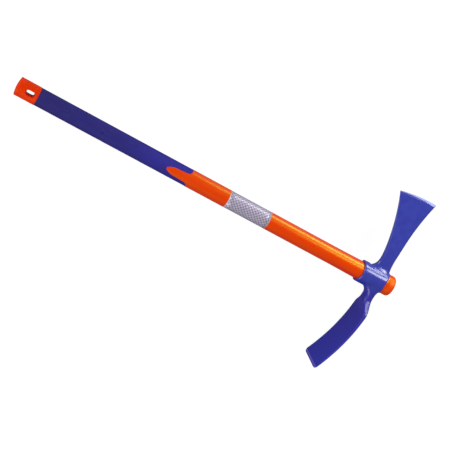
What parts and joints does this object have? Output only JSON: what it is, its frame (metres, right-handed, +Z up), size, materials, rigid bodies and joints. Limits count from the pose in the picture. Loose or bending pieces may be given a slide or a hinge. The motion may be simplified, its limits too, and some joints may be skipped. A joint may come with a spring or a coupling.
{
  "type": "cutter mattock",
  "caption": "Cutter mattock: a forged blue head with an axe blade and a curved adze blade, jammed on a round fibreglass handle with a soft grip, a reflective band and a hanging slot.",
  "frame": {"origin": "on the ground below the middle of the bounding box, with the tool lying on its side", "axes": "+X along the handle from the grip to the head, +Y from the handle to the axe edge, +Z up, across the width of the adze"},
  "size_m": [0.9, 0.427, 0.106],
  "materials": {
    "head_paint": "gloss paint over forged steel, ground bare along the axe edge",
    "core": "pultruded glass fibre in resin",
    "jacket": "glossy moulded polypropylene",
    "grip": "matte moulded soft plastic",
    "cap": "satin moulded polypropylene",
    "band": "retroreflective film with a diamond mesh"
  },
  "bodies": {
    "root": {"mattock_head": "head_paint", "fibreglass_core": "core", "handle_jacket": "jacket", "grip_sleeve": "grip", "end_cap": "cap", "reflective_band": "band"}
  },
  "joints": []
}
